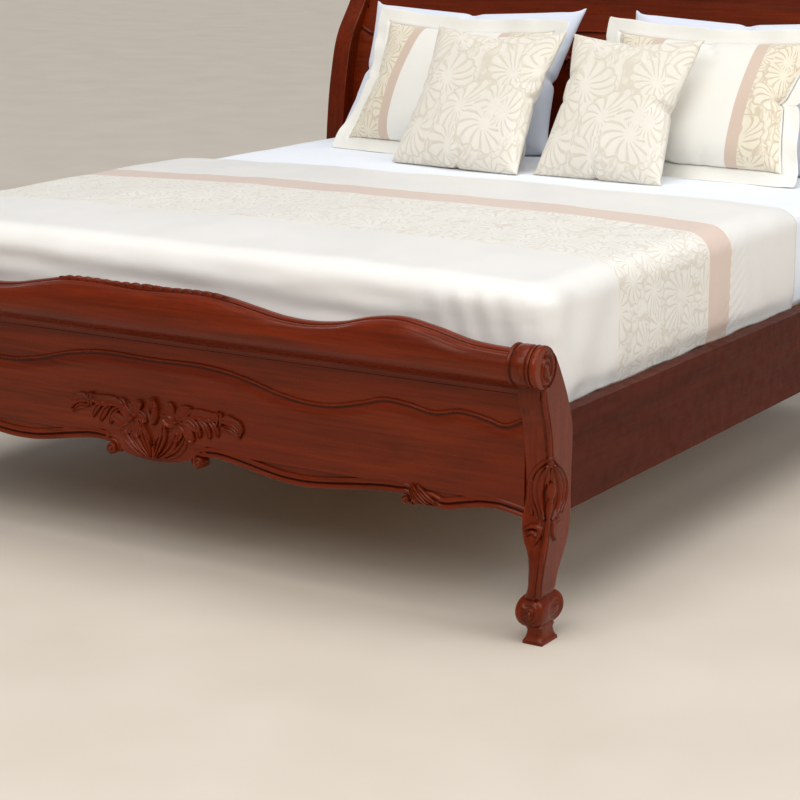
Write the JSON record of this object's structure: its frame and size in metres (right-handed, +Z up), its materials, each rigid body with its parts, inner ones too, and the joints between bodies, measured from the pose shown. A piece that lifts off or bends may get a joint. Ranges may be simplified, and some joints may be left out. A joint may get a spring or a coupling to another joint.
{
  "type": "sleigh bed",
  "caption": "Carved sleigh bed with scrolled posts, serpentine footboard, plank side rails, slatted base, mattress, banded bedspread and leaning cushions.",
  "frame": {"origin": "centre of the bounding box at floor level", "axes": "+Z up; the foot end faces -Y and the head end +Y; +X is the right-hand side seen from the foot end"},
  "size_m": [1.936, 2.4042, 1.2095],
  "materials": {
    "mahogany": "gloss lacquer",
    "rail_wood": "satin lacquer",
    "base_wood": "planed, unfinished",
    "steel": "zinc plated",
    "glide_plastic": "matte",
    "ticking": "quilted",
    "sheet_cotton": "smooth",
    "spread_satin": "satin with a damask band and a taupe stripe",
    "cushion_damask": "woven scroll pattern",
    "sham_satin": "satin with bands",
    "pillow_cotton": "smooth"
  },
  "bodies": {
    "frame": {"centre_beam": "base_wood", "centre_beam_shoes": "steel", "centre_leg_1": "base_wood", "centre_leg_2": "base_wood", "centre_leg_glides": "glide_plastic", "foot_apron_moulding_left": "mahogany", "foot_apron_moulding_right": "mahogany", "foot_apron_scroll_left": "mahogany", "foot_apron_scroll_right": "mahogany", "foot_cartouche": "mahogany", "foot_crest_carving": "mahogany", "foot_field": "mahogany", "foot_panel": "mahogany", "foot_post_left": "mahogany", "foot_post_right": "mahogany", "foot_roll": "mahogany", "foot_roundel_left": "mahogany", "foot_roundel_right": "mahogany", "head_cartouche": "mahogany", "head_crest_carving": "mahogany", "head_field": "mahogany", "head_lower_rail": "mahogany", "head_panel": "mahogany", "head_post_left": "mahogany", "head_post_right": "mahogany", "head_roll": "mahogany", "head_roundel_left": "mahogany", "head_roundel_right": "mahogany", "rail_hook_plates": "steel", "rail_screws": "steel", "side_rail_left": "rail_wood", "side_rail_right": "rail_wood", "slat_01": "base_wood", "slat_02": "base_wood", "slat_03": "base_wood", "slat_04": "base_wood", "slat_05": "base_wood", "slat_06": "base_wood", "slat_07": "base_wood", "slat_08": "base_wood", "slat_09": "base_wood", "slat_10": "base_wood", "slat_11": "base_wood", "slat_12": "base_wood", "slat_ledge_left": "base_wood", "slat_ledge_right": "base_wood"},
    "mattress": {"mattress": "ticking", "fitted_sheet": "sheet_cotton"},
    "bedspread": {"bedspread": "spread_satin"},
    "pillow_left": {"pillow_left": "pillow_cotton"},
    "sham_left": {"sham_left": "sham_satin"},
    "cushion_left": {"cushion_left": "cushion_damask"},
    "pillow_right": {"pillow_right": "pillow_cotton"},
    "sham_right": {"sham_right": "sham_satin"},
    "cushion_right": {"cushion_right": "cushion_damask"}
  },
  "joints": [
    {"name": "mattress_lift", "type": "slide", "parent": "frame", "child": "mattress", "axis": [0, 0, 1], "range_m": [0, 0.3]},
    {"name": "bedspread_lift", "type": "slide", "parent": "mattress", "child": "bedspread", "axis": [0, 0, 1], "range_m": [0, 0.3]},
    {"name": "pillow_left_lift", "type": "slide", "parent": "mattress", "child": "pillow_left", "axis": [0, 0, 1], "range_m": [0, 0.3]},
    {"name": "sham_left_lift", "type": "slide", "parent": "pillow_left", "child": "sham_left", "axis": [0, 0, 1], "range_m": [0, 0.3]},
    {"name": "cushion_left_lift", "type": "slide", "parent": "sham_left", "child": "cushion_left", "axis": [0, 0, 1], "range_m": [0, 0.3]},
    {"name": "pillow_right_lift", "type": "slide", "parent": "mattress", "child": "pillow_right", "axis": [0, 0, 1], "range_m": [0, 0.3]},
    {"name": "sham_right_lift", "type": "slide", "parent": "pillow_right", "child": "sham_right", "axis": [0, 0, 1], "range_m": [0, 0.3]},
    {"name": "cushion_right_lift", "type": "slide", "parent": "sham_right", "child": "cushion_right", "axis": [0, 0, 1], "range_m": [0, 0.3]}
  ]
}
